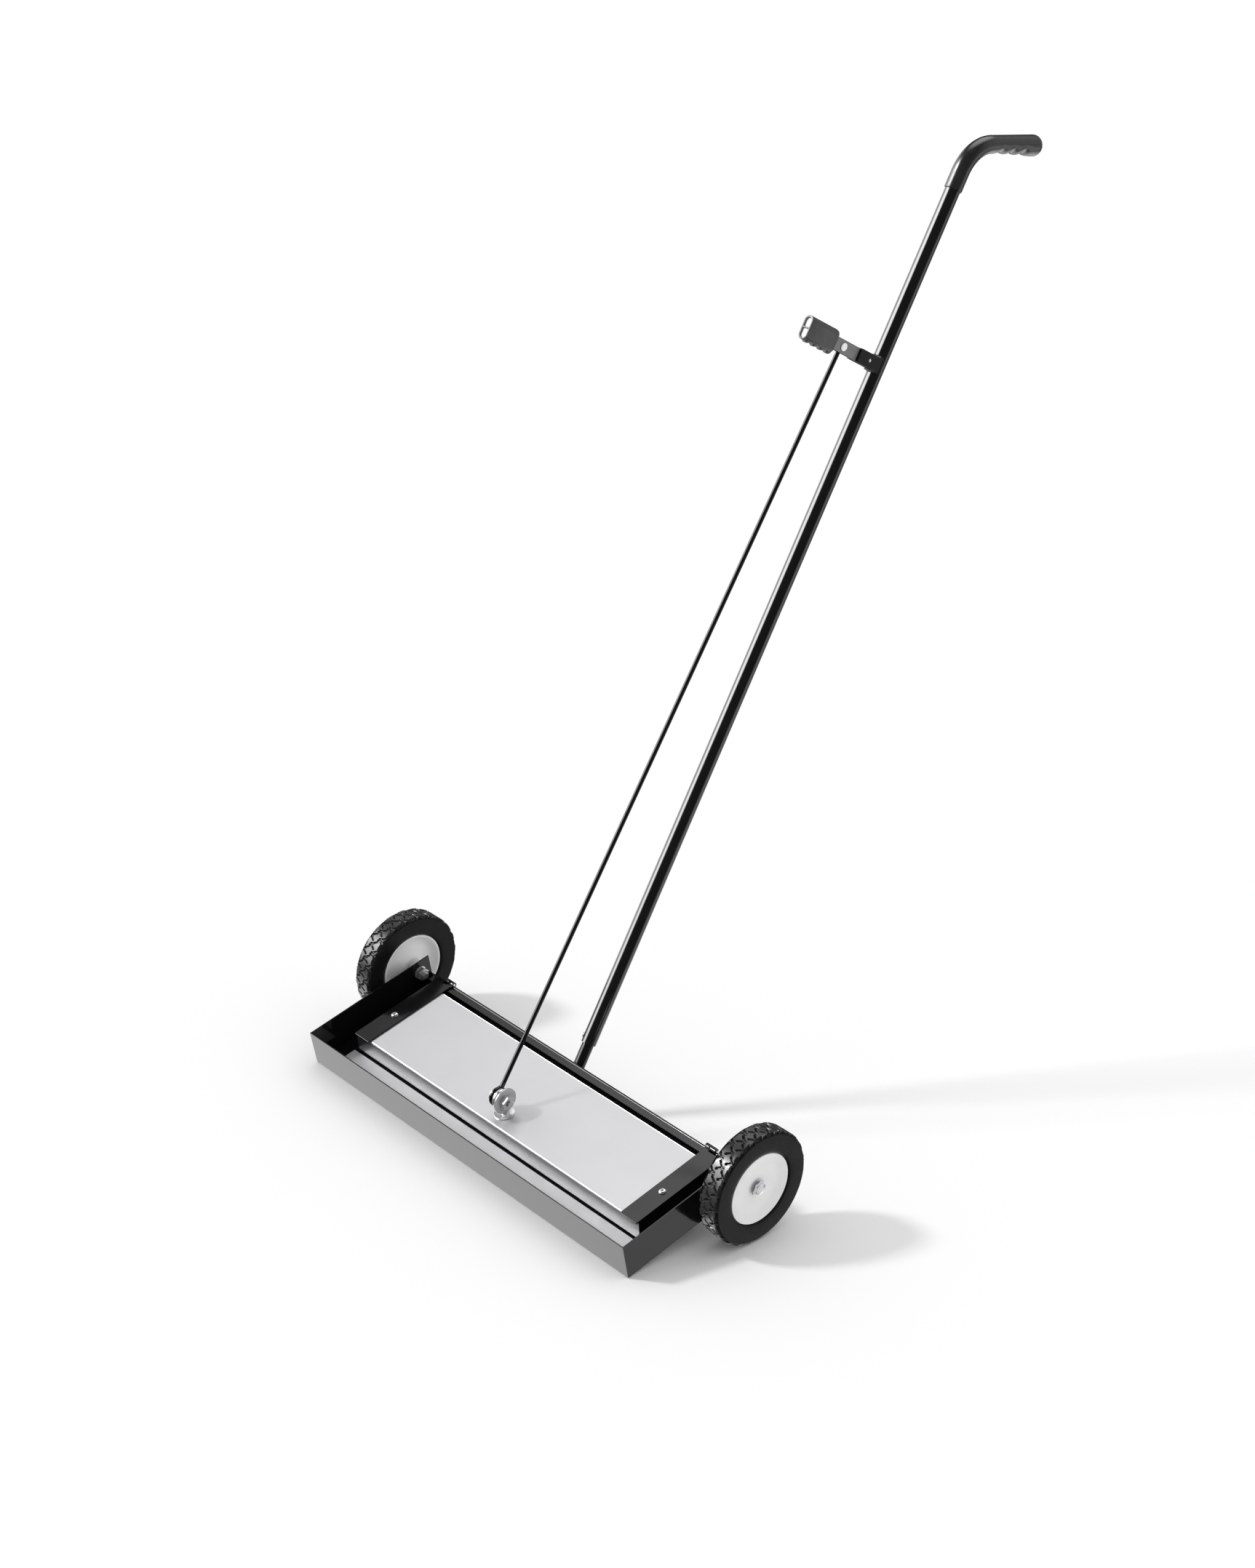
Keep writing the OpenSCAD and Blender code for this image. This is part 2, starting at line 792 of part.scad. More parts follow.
module axle_nuts() {
    color(zinc) chassis() both_sides() difference() {
        hex_x(nut_in, nut_out, 16.2);
        rod_x(nut_in - 1, nut_out + 1, axle_d);
    }
}

tray_pan();
floor_plate();
hinge_knuckles();
hinge_pins();
magnet_cover();
magnet_back_bar();
bar_magnets();
end_cap_left();
end_cap_right();
cap_screws();
cap_nuts();
eye_bolt();
eye_base_washer();
eye_nut();
cross_bolt();
cross_washers();
cross_nut();
pull_rod();
handle_stub();
handle_tube();
snap_button();
button_spring();
handle_grip();
lever_bracket();
lever_pivot_pin();
lever_bar();
lever_grip();
grip_core();
rod_pin();
rod_pin_cap();
tyre_left();
hub_left();
bushing_left();
tyre_right();
hub_right();
bushing_right();
axle_bolts();
axle_spacers();
axle_washers();
axle_nuts();
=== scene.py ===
"""Magnetic nail sweeper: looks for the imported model, in metres and in the model's own frame."""
import json
import math
import bmesh
import bpy
import numpy as np
from mathutils import Matrix, Vector, noise


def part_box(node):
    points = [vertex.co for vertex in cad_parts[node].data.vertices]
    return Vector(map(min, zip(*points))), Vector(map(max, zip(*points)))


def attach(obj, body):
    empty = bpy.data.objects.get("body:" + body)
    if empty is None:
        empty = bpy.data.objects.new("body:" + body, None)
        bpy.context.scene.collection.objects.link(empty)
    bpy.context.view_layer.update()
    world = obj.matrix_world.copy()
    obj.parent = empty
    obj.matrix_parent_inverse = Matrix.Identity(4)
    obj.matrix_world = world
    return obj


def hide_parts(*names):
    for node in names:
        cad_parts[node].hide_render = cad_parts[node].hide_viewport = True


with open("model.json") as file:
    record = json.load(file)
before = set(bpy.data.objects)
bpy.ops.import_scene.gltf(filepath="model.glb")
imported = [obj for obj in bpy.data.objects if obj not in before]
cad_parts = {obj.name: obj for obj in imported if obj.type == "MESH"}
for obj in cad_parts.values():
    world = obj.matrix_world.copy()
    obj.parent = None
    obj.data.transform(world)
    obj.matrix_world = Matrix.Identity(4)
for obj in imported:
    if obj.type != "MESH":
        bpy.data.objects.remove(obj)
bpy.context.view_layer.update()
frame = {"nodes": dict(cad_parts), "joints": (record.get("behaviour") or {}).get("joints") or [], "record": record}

# ---------------------------------------------------------------- frame
MM = 0.001
JOINT = {j["name"]: j for j in frame["joints"]}
MOUNT = {m["name"]: m for m in frame["record"]["mounts"]}
# Multiplying by this moves a point to the middle of the machine
MIDDLE = Vector((0, 1, 1))
AXLE = Vector(JOINT["wheel_right_spin"]["pos_m"]) * MIDDLE
PIVOT = Vector(JOINT["lever_pull"]["pos_m"])
ROD_PIN = Vector(JOINT["rod_swing"]["pos_m"])
FLOOR_NORMAL = -Vector(MOUNT["ground_rest"]["axis"])
PITCH = math.atan2(-FLOOR_NORMAL.y, FLOOR_NORMAL.z)

# Chassis frame: origin on the axle, Y along the tray floor to the rear, Z square to it
CHASSIS = Matrix.Translation(AXLE) @ Matrix.Rotation(PITCH, 4, "X")
# Lever frame: origin at the lever's pivot, Y back towards the handle tube, Z up along the tube
OUTWARD = (ROD_PIN - PIVOT).normalized()
TUBE_UP = Vector((1, 0, 0)).cross(-OUTWARD)
LEVER = Matrix((Vector((1, 0, 0)), -OUTWARD, TUBE_UP)).transposed().to_4x4()
LEVER.translation = PIVOT


# ---------------------------------------------------------------- camera, lights and floor
def make_camera():
    """The camera's place was found about the axle with the tray floor at a smaller pitch, so it
    turns with the tray."""
    seen_pitch = math.radians(9.80)
    axle_height = 0.0769
    azimuth = math.radians(47.334)
    elevation = math.radians(29.014)
    distance = 3.5491
    aim_right = 0.0757
    aim_up = 0.43106
    right = Vector((math.cos(azimuth), math.sin(azimuth), 0))
    back = Vector((math.sin(azimuth) * math.cos(elevation),
                   -math.cos(azimuth) * math.cos(elevation), math.sin(elevation)))
    up = back.cross(right)
    pose = Matrix((right, up, back)).transposed().to_4x4()
    pose.translation = right * aim_right + up * aim_up + back * distance
    turn = Matrix.Translation(AXLE) @ Matrix.Rotation(PITCH - seen_pitch, 4, "X")
    data = bpy.data.cameras.new("camera")
    data.sensor_fit = "HORIZONTAL"
    data.sensor_width = 36
    data.lens = 78.36
    data.clip_end = 100
    camera = bpy.data.objects.new("camera", data)
    camera.matrix_world = turn @ Matrix.Translation((0, 0, -axle_height)) @ pose
    bpy.context.scene.collection.objects.link(camera)
    bpy.context.scene.camera = camera


# Soft bright areas seen by gloss: direction, angle of full strength, angle of none, strength
GLOSS_BASE = 0.05
GLOSS_AREAS = [
    ((-0.66, -0.62, 0.42), 8, 30, 8.0),     # main light, ahead to the left
    ((-0.97, -0.05, 0.0), 12, 38, 1.8),     # left wall
    ((-0.68, -0.30, -0.66), 6, 32, 2.2),    # floor to the left
    ((0.70, 0.55, -0.46), 4, 30, 0.8),      # floor behind to the right
    ((-0.10, 0.55, -0.83), 8, 36, 1.6),     # floor behind
    ((-0.25, 0.42, 0.87), 14, 33, 2.0),     # overhead
    ((0.3, 0.9, 0.3), 10, 50, 0.4),         # rear wall
]
# Even light for everything else, a little dimmer from ahead to the right
EVEN_BASE = 0.93
EVEN_AREAS = [((0.6, -0.75, 0.25), 0, 75, -0.40)]
BACKDROP = 1.0
SUN_STRENGTH = 1.45
SUN_SPREAD = math.radians(7)
SUN_HEIGHT = math.radians(37.6)
SUN_ACROSS = Vector((-0.68, -0.74))


def lobe(tree, towards, inner, outer, strength):
    """Brightness that falls from strength to 0 as the direction turns away from one point."""
    links = tree.links
    coordinates = tree.nodes.new("ShaderNodeTexCoord")
    dot = tree.nodes.new("ShaderNodeVectorMath")
    dot.operation = "DOT_PRODUCT"
    dot.inputs[1].default_value = Vector(towards).normalized()
    links.new(coordinates.outputs["Generated"], dot.inputs[0])
    ramp = tree.nodes.new("ShaderNodeMapRange")
    ramp.interpolation_type = "SMOOTHSTEP"
    ramp.inputs["From Min"].default_value = math.cos(math.radians(outer))
    ramp.inputs["From Max"].default_value = math.cos(math.radians(inner))
    ramp.inputs["To Min"].default_value = 0
    ramp.inputs["To Max"].default_value = strength
    links.new(dot.outputs["Value"], ramp.inputs["Value"])
    return ramp.outputs["Result"]


def summed(tree, base, areas):
    """A base brightness with the lobes of several areas added to it."""
    parts = [lobe(tree, *area) for area in areas]
    total = base
    for part in parts:
        add = tree.nodes.new("ShaderNodeMath")
        add.inputs[0].default_value = base
        if total is not base:
            tree.links.new(total, add.inputs[0])
        tree.links.new(part, add.inputs[1])
        total = add.outputs[0]
    return total


def make_studio():
    """Even light for matt surfaces; gloss sees a dark room with a few bright areas, and the
    camera sees a plain backdrop."""
    scene = bpy.context.scene
    scene.view_settings.view_transform = "Standard"
    world = bpy.data.worlds.new("studio")
    scene.world = world
    world.use_nodes = True
    tree = world.node_tree
    background = tree.nodes["Background"]
    gloss = summed(tree, GLOSS_BASE, GLOSS_AREAS)
    even = summed(tree, EVEN_BASE, EVEN_AREAS)
    path = tree.nodes.new("ShaderNodeLightPath")
    pick = tree.nodes.new("ShaderNodeMix")
    tree.links.new(path.outputs["Is Glossy Ray"], pick.inputs["Factor"])
    tree.links.new(even, pick.inputs["A"])
    tree.links.new(gloss, pick.inputs["B"])
    seen = tree.nodes.new("ShaderNodeMix")
    tree.links.new(path.outputs["Is Camera Ray"], seen.inputs["Factor"])
    tree.links.new(pick.outputs["Result"], seen.inputs["A"])
    seen.inputs["B"].default_value = BACKDROP
    tree.links.new(seen.outputs["Result"], background.inputs["Strength"])
    background.inputs["Color"].default_value = (1, 1, 1, 1)

    sun = bpy.data.lights.new("key", "SUN")
    sun.energy = SUN_STRENGTH
    sun.angle = SUN_SPREAD
    key = bpy.data.objects.new("key", sun)
    towards = Vector((SUN_ACROSS.x * math.cos(SUN_HEIGHT), SUN_ACROSS.y * math.cos(SUN_HEIGHT),
                      math.sin(SUN_HEIGHT)))
    key.rotation_euler = towards.to_track_quat("Z", "Y").to_euler()
    scene.collection.objects.link(key)


def make_floor():
    """A matt white ground far larger than the picture."""
    bpy.ops.mesh.primitive_plane_add(size=60)
    floor = bpy.context.object
    floor.name = "studio_floor"
    floor.visible_glossy = False
    material = bpy.data.materials.new("studio_floor")
    material.use_nodes = True
    shader = material.node_tree.nodes["Principled BSDF"]
    shader.inputs["Base Color"].default_value = (0.9, 0.9, 0.9, 1)
    shader.inputs["Roughness"].default_value = 1
    shader.inputs["Specular IOR Level"].default_value = 0
    floor.data.materials.append(material)


# ---------------------------------------------------------------- materials
def mottled(tree, size, low, high, detail=3):
    """Noise spread between two values, at a grain size in metres."""
    coordinates = tree.nodes.new("ShaderNodeTexCoord")
    grain = tree.nodes.new("ShaderNodeTexNoise")
    grain.inputs["Scale"].default_value = 1 / size
    grain.inputs["Detail"].default_value = detail
    tree.links.new(coordinates.outputs["Object"], grain.inputs["Vector"])
    spread = tree.nodes.new("ShaderNodeMapRange")
    spread.inputs["From Min"].default_value = 0.3
    spread.inputs["From Max"].default_value = 0.7
    spread.inputs["To Min"].default_value = low
    spread.inputs["To Max"].default_value = high
    tree.links.new(grain.outputs["Fac"], spread.inputs["Value"])
    return spread.outputs["Result"]


def finish(name, dark, light, rough, metallic=0.0, patch=0.03, grain=0.0008, relief=0.0,
           ior=1.5):
    """A procedural finish: colour drifts between dark and light over patches, roughness varies
    between two values, and a fine grain gives relief. Patch, grain and relief are in metres."""
    material = bpy.data.materials.new(name)
    material.use_nodes = True
    tree = material.node_tree
    shader = tree.nodes["Principled BSDF"]
    shader.inputs["Metallic"].default_value = metallic
    shader.inputs["IOR"].default_value = ior
    mix = tree.nodes.new("ShaderNodeMix")
    mix.data_type = "RGBA"
    mix.inputs["A"].default_value = (*dark, 1)
    mix.inputs["B"].default_value = (*light, 1)
    tree.links.new(mottled(tree, patch, 0, 1), mix.inputs["Factor"])
    tree.links.new(mix.outputs["Result"], shader.inputs["Base Color"])
    tree.links.new(mottled(tree, patch * 0.4, rough[0], rough[1], 5), shader.inputs["Roughness"])
    if relief:
        bump = tree.nodes.new("ShaderNodeBump")
        bump.inputs["Strength"].default_value = 1
        bump.inputs["Distance"].default_value = relief
        height = mottled(tree, grain, 0, 1, 2)
        height.node.clamp = False
        tree.links.new(height, bump.inputs["Height"])
        tree.links.new(bump.outputs["Normal"], shader.inputs["Normal"])
    return material


def grey(value):
    """A neutral grey with a trace of blue."""
    return (value, value, value * 1.02)


BLACK_PAINT = finish("black_paint", grey(0.004), grey(0.006), (0.09, 0.14), patch=0.05,
                     grain=0.0025, relief=0.000003)
TUBE_PAINT = finish("tube_paint", grey(0.003), grey(0.005), (0.09, 0.14), patch=0.04,
                    grain=0.002, relief=0.000002, ior=1.9)
BRACKET_PAINT = finish("bracket_paint", grey(0.003), grey(0.005), (0.12, 0.18), patch=0.05,
                       grain=0.0025, relief=0.000003, ior=1.25)
GREY_PAINT = finish("grey_paint", grey(0.17), grey(0.19), (0.38, 0.5), patch=0.02,
                    relief=0.000015)
COVER_METAL = finish("cover_metal", grey(0.65), grey(0.67), (0.38, 0.41), metallic=0.6,
                     patch=0.06)
# A darker, more mirror-like copy of the cover metal for the cover's front skirt: painted shade on the skirt.
SKIRT_SHADE_METAL = finish("skirt_metal_painted_shade", grey(0.38), grey(0.40), (0.24, 0.28), metallic=0.95,
                     patch=0.06)
FLOOR_METAL = finish("floor_metal", grey(0.56), grey(0.58), (0.50, 0.54), metallic=0.5,
                     patch=0.05)
STEEL = finish("plain_steel", grey(0.28), grey(0.38), (0.35, 0.5), metallic=0.9, patch=0.01,
               grain=0.0006, relief=0.00001)
ZINC = finish("zinc", grey(0.72), grey(0.80), (0.14, 0.20), metallic=0.85, patch=0.004,
              grain=0.0005, relief=0.000004)
WASHER = finish("zinc_satin", grey(0.60), grey(0.66), (0.20, 0.28), metallic=0.55, patch=0.004,
                grain=0.0005, relief=0.000004)
MAGNET = finish("magnet", grey(0.02), grey(0.035), (0.6, 0.75), patch=0.01,
                grain=0.0006, relief=0.00003)
GRIP = finish("grip_rubber", grey(0.014), grey(0.020), (0.18, 0.24), patch=0.012,
              grain=0.0005, relief=0.000005, ior=1.75)
LEVER_GRIP = finish("lever_grip_rubber", grey(0.052), grey(0.062), (0.28, 0.36), patch=0.012,
                    grain=0.0005, relief=0.00001, ior=1.55)
TYRE = finish("tyre_rubber", grey(0.006), grey(0.010), (0.26, 0.34), patch=0.012, ior=1.22)
# A lighter copy of the tyre rubber for the tread band: painted highlight, the tread lighter where light catches
# it.
TREAD_HIGHLIGHT = finish("tread_rubber_painted_highlight", grey(0.030), grey(0.040), (0.24, 0.32), patch=0.006)
WHITE = finish("white_plastic", (0.88, 0.88, 0.875), (0.92, 0.92, 0.915), (0.32, 0.42),
               patch=0.03, grain=0.0009, relief=0.000008)


# ---------------------------------------------------------------- mesh helpers
TO_X = Matrix.Rotation(math.radians(90), 4, "Y")
ONE = Matrix.Identity(4)
SIDES = ((1, "right"), (-1, "left"))
# Radius of the point that closes a turned outline on its axis
TIP = 0.01


def at(x, y, z):
    """A shift in millimetres."""
    return Matrix.Translation((x * MM, y * MM, z * MM))


def mirrored(side):
    """Right side as drawn for 1, its mirror image on the left for -1."""
    return Matrix.Diagonal((side, 1, 1, 1))


def turned_to(axis, degrees):
    """A turn about one of the axes through the origin."""
    return Matrix.Rotation(math.radians(degrees), 4, axis)


def piece(name, verts, faces, material, body, slot, place=ONE, replaces=(), sharp=35, edge=0):
    """A new object from points in millimetres, placed by a matrix, riding on a body."""
    mesh = bpy.data.meshes.new(name)
    mesh.from_pydata([tuple(v) for v in verts], [], faces)
    mesh.transform(place @ Matrix.Scale(MM, 4))
    tidy = bmesh.new()
    tidy.from_mesh(mesh)
    bmesh.ops.remove_doubles(tidy, verts=tidy.verts, dist=0.000002)
    bmesh.ops.recalc_face_normals(tidy, faces=tidy.faces)
    tidy.to_mesh(mesh)
    tidy.free()
    obj = bpy.data.objects.new(name, mesh)
    bpy.context.scene.collection.objects.link(obj)
    obj.data.materials.append(material)
    smooth(obj, sharp, edge)
    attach(obj, body)
    if replaces:
        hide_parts(*replaces)
    return obj


def smooth(obj, sharp=35, edge=0):
    """Smooth shading that keeps edges sharper than an angle, with those edges rounded off."""
    obj.data.shade_smooth()
    obj.data.set_sharp_from_angle(angle=math.radians(sharp))
    if edge:
        bevel = obj.modifiers.new("edges", "BEVEL")
        bevel.width = edge * MM
        bevel.segments = 2
        bevel.limit_method = "ANGLE"
        bevel.angle_limit = math.radians(sharp)
        bevel.harden_normals = True


def paint(obj, material, test):
    """A second finish on the faces whose centre, in chassis millimetres, passes a test."""
    obj.data.materials.append(material)
    back = CHASSIS.inverted()
    for face in obj.data.polygons:
        if test(back @ face.center / MM):
            face.material_index = 1


class Shape:
    """Gathers several closed shells, in millimetres, into one list of points and faces."""

    def __init__(self):
        self.verts = []
        self.faces = []

    def add(self, verts, faces, place=ONE):
        """Takes in one shell, moved by a matrix whose shift is in metres."""
        base = len(self.verts)
        shift = place.copy()
        shift.translation = place.translation / MM
        self.verts += [shift @ Vector(v) for v in verts]
        self.faces += [tuple(base + i for i in face) for face in faces]
        return self

    def piece(self, name, *args, **kw):
        """Makes everything gathered into one object; the rest is as for piece()."""
        return piece(name, self.verts, self.faces, *args, **kw)


def tube_faces(rows, columns, loop):
    """Faces between rings of points. The last ring meets the first in a loop; if not, one face
    closes each end."""
    faces = []
    for r in range(rows if loop else rows - 1):
        for c in range(columns):
            n, d = (r + 1) % rows, (c + 1) % columns
            faces.append((r * columns + c, r * columns + d, n * columns + d, n * columns + c))
    if not loop:
        faces.append(tuple(range(columns - 1, -1, -1)))
        faces.append(tuple(range((rows - 1) * columns, rows * columns)))
    return faces


def polar(rings, steps=48, loop=False):
    """Rings about Z. Each is (radius, height); a radius or height may be a function of angle."""
    verts = []
    for radius, height in rings:
        for i in range(steps):
            angle = 2 * math.pi * i / steps
            r = radius(angle) if callable(radius) else radius
            h = height(angle) if callable(height) else height
            verts.append((r * math.cos(angle), r * math.sin(angle), h))
    return verts, tube_faces(len(rings), steps, loop)


def rounded(points, radius, steps=4):
    """A closed outline with its corners rounded; a radius may be given for each corner."""
    out = []
    count = len(points)
    for i, point in enumerate(points):
        r = radius[i] if isinstance(radius, (list, tuple)) else radius
        here = Vector(point)
        back = Vector(points[i - 1]) - here
        on = Vector(points[(i + 1) % count]) - here
        if r <= 0:
            out.append(tuple(here))
            continue
        half = back.angle(on) / 2
        reach = min(r / math.tan(half), back.length * 0.49, on.length * 0.49)
        start, end = here + back.normalized() * reach, here + on.normalized() * reach
        for k in range(steps + 1):
            t = k / steps
            out.append(tuple(start * (1 - t) ** 2 + here * 2 * t * (1 - t) + end * t * t))
    return out


def ring(inner, outer, low, high, edge=0.3, steps=48):
    """A washer about Z with rounded edges."""
    outline = rounded([(inner, low), (outer, low), (outer, high), (inner, high)], edge, 2)
    return polar(outline, steps, loop=True)


def hex_reach(half_flats, angle):
    """Distance from a hexagon's middle to its edge."""
    return half_flats / math.cos((angle + math.pi / 6) % (math.pi / 3) - math.pi / 6)


def hexed(flats, low, high, bore=0, both=True):
    """A hexagon about Z with its corners turned off, at both ends or only the upper one; a bore
    of 0 leaves it solid."""
    face = flats / 2 * 0.96

    def corner(angle):
        return hex_reach(flats / 2, angle)

    def top(angle):
        return high - (corner(angle) - face) * 0.5

    def bottom(angle):
        return low + (corner(angle) - face) * 0.5 if both else low

    core = bore / 2 if bore else TIP
    rings = [(core, low), (face, low), (corner, bottom), (corner, top), (face, high)]
    if bore:
        rings += [(core + 0.5, high), (core, high - 0.5)]
    else:
        rings += [(core, high)]
    return polar(rings, 72, loop=bool(bore))


def threaded(radius, low, high, pitch=1.25, steps=32):
    """A threaded end about Z, as fine rings, with a chamfered tip."""
    depth = pitch * 0.45
    rings = [(TIP, low), (radius - 0.5, low)]
    z = low + 0.4
    while z < high - 1.2:
        rings += [(radius, z), (radius - depth, z + pitch / 2)]
        z += pitch
    rings += [(radius, high - 1.0), (radius - 1.0, high), (TIP, high)]
    return polar(rings, steps)


def sweep(points, radius, steps=20, closed=False, across=None):
    """A round bar along points in millimetres; a radius may be given for each point."""
    path = [Vector(p) for p in points]
    count = len(path)
    verts = []
    side = across
    for i, here in enumerate(path):
        if closed:
            along = path[(i + 1) % count] - path[i - 1]
        else:
            along = path[min(i + 1, count - 1)] - path[max(i - 1, 0)]
        along.normalize()
        if side is None:
            side = along.orthogonal()
        side = (side - along * side.dot(along)).normalized()
        other = along.cross(side)
        r = radius[i] if isinstance(radius, (list, tuple)) else radius
        for k in range(steps):
            angle = 2 * math.pi * k / steps
            verts.append(here + side * (r * math.cos(angle)) + other * (r * math.sin(angle)))
    return verts, tube_faces(count, steps, closed)


def loft(sections):
    """Faces between closed sections that have the same number of points."""
    verts = [p for section in sections for p in section]
    return verts, tube_faces(len(sections), len(sections[0]), False)


def slab(outline, low, high, edge=0.4):
    """A flat plate from an outline in X and Y, with chamfered edges all round."""
    middle = sum((Vector(p) for p in outline), Vector((0, 0))) / len(outline)

    def drawn_in(point, by):
        offset = Vector(point) - middle
        return middle + Vector((math.copysign(max(abs(offset.x) - by, 0), offset.x),
                                math.copysign(max(abs(offset.y) - by, 0), offset.y)))

    sections = []
    for by, z in ((edge, low), (0, low + edge), (0, high - edge), (edge, high)):
        sections.append([(*drawn_in(p, by), z) for p in outline])
    return loft(sections)


def weld(points, radius, seed):
    """A weld bead: a bar with the ripples and small swellings of a run by hand."""
    spacing = 0.7
    path, sizes = [], []
    for i in range(len(points) - 1):
        a, b = Vector(points[i]), Vector(points[i + 1])
        parts = max(2, int((b - a).length / spacing))
        for k in range(parts):
            path.append(a.lerp(b, k / parts))
    path.append(Vector(points[-1]))
    for i in range(len(path)):
        ripple = 0.13 * math.sin(i * 1.9)
        swell = 0.2 * noise.noise(Vector((i * 0.35, seed, 0)))
        sizes.append(radius * (1 + ripple + swell))
    return sweep(path, sizes, 10)


# ---------------------------------------------------------------- tyres and hubs
TYRE_R = 76.5
TYRE_HALF = 15.7
SHOULDER_R = 5.0
# Distance of a tyre's middle plane from the machine's
TYRE_MID = 333.7
# The tread pattern repeats this often round the tyre
REPEATS = 23
REPEAT = 2 * math.pi * TYRE_R / REPEATS
STEPS_PER_REPEAT = 44
# Rows of grooves lie this far apart across the tyre, each shifted half a repeat
ROW = 9.0
FIRST_ROW = -4.6
# Grooves: centre line from and to (across, round), half width, depth
GROOVES = [
    ((0.0, 0.0), (4.7, 2.9), 1.15, 3.4),
    ((4.7, 2.9), (10.6, 2.7), 0.75, 2.6),
    ((0.45, 10.2), (5.3, 6.7), 1.15, 3.4),
    ((5.3, 6.7), (9.9, 5.6), 0.75, 2.6),
]
# Pockets between the lugs' ends on both shoulders: from here outwards, for a share of a repeat
POCKET_FROM = 10.8
POCKET_HALF_SHARE = 0.27
POCKET_DEPTH = 4.2
# The tread fades out here, on the way round the shoulder
TREAD_EDGE = 15.2


def groove_depth(across, along, start, end, half, cut, row):
    """Depth of one row of a groove at points across and round the tyre."""
    run, rise = end[0] - start[0], end[1] - start[1]
    dx = across - (start[0] + row * ROW + FIRST_ROW)
    dy = along - (start[1] + row * REPEAT / 2)
    dy = (dy - rise / 2 + REPEAT / 2) % REPEAT - REPEAT / 2 + rise / 2
    t = np.clip((dx * run + dy * rise) / (run * run + rise * rise), 0, 1)
    gap = np.hypot(dx - t * run, dy - t * rise)
    return cut * np.clip((half + 0.4 - gap) / 0.5, 0, 1)


def tread_depth(across, along):
    """How far the tread is cut down at points across and round the tyre, in millimetres."""
    depth = np.zeros_like(across)
    for start, end, half, cut in GROOVES:
        for row in range(-4, 4):
            depth = np.maximum(depth, groove_depth(across, along, start, end, half, cut, row))
    for side, phase in ((1, 0.31), (-1, 0.81)):
        x = across * side
        y = (along / REPEAT + phase + 0.02 * x) % 1
        pocket = np.clip((x - POCKET_FROM) / 0.8, 0, 1)
        pocket *= np.clip((POCKET_HALF_SHARE - np.abs(y - 0.5)) / 0.04, 0, 1)
        depth = np.maximum(depth, POCKET_DEPTH * pocket)
    return depth * np.clip((TREAD_EDGE - np.abs(across)) / 0.5, 0, 1)


def tyre_mesh():
    """A turned tyre with its tread cut in."""
    # Each ring is (radius, across, lean of the surface in degrees, tread share)
    wall = [(48.2, 13.2), (48.6, 14.4), (50, 15.0), (53, 15.45), (58, 15.7), (64, 15.75),
            (68.5, 15.72), (70.4, 15.66)]
    rings = [(radius, across, 90, 0) for radius, across in wall]
    for k in range(19):
        lean = 90 * (1 - k / 18)
        rings.append((TYRE_R - SHOULDER_R + SHOULDER_R * math.cos(math.radians(lean)),
                      TYRE_HALF - SHOULDER_R + SHOULDER_R * math.sin(math.radians(lean)),
                      lean, 1))
    crown = [(TYRE_R, x, 0, 1) for x in np.arange(10.32, -10.33, -0.43)]
    other = [(radius, -across, -lean, share) for radius, across, lean, share in reversed(rings)]
    rings += crown + other

    steps = REPEATS * STEPS_PER_REPEAT
    angle = np.arange(steps) * 2 * math.pi / steps
    table = np.array(rings)
    radius, across, lean, share = (np.repeat(table[:, i:i + 1], steps, 1) for i in range(4))
    lean = np.radians(lean)
    # Distance across the tread runs on round the shoulder
    round_shoulder = (np.minimum(np.abs(across), TYRE_HALF - SHOULDER_R)
                      + SHOULDER_R * np.abs(lean) * 0.82)
    flat = np.where(share > 0, np.sign(across) * round_shoulder, across)
    depth = tread_depth(flat, np.tile(-angle * TYRE_R, (len(rings), 1))) * share
    r = radius - depth * np.cos(lean * 0.75)
    x = across - depth * np.sin(lean * 0.75)
    verts = np.stack([r * np.cos(angle), r * np.sin(angle), x], 2).reshape(-1, 3)
    return verts.tolist(), tube_faces(len(rings), steps, True)


def hub_profile():
    """(radius, height) outward from the hub's inner face: the dish seen, then the back."""
    outer = [(7.1, 20.2), (12.5, 20.2), (20, 20.3), (27, 20.5), (32, 20.9), (35.5, 21.6),
             (38.5, 22.8), (41, 24.2), (42.8, 25.2), (44.2, 25.7), (45.0, 26.5), (45.9, 27.1),
             (47.0, 27.2), (47.7, 26.6), (48.0, 25.6)]
    inner = [(48.0, -0.2), (47.6, -0.9), (46.8, -1.1), (45.6, -0.8), (44.2, 0.4), (42, 3.2),
             (38.5, 6.0), (34, 7.1), (28, 6.4), (21, 4.6), (17, 2.5), (14.4, 0.4), (13.6, 0.05),
             (7.1, 0.05)]
    return outer + inner


def is_tread(point):
    """True on the tyre's crown and in its grooves, in chassis millimetres."""
    radius = math.hypot(point.y, point.z)
    within = abs(abs(point.x) - TYRE_MID) < 13.6
    return radius > TYRE_R - 0.35 or within and radius > TYRE_R - 6


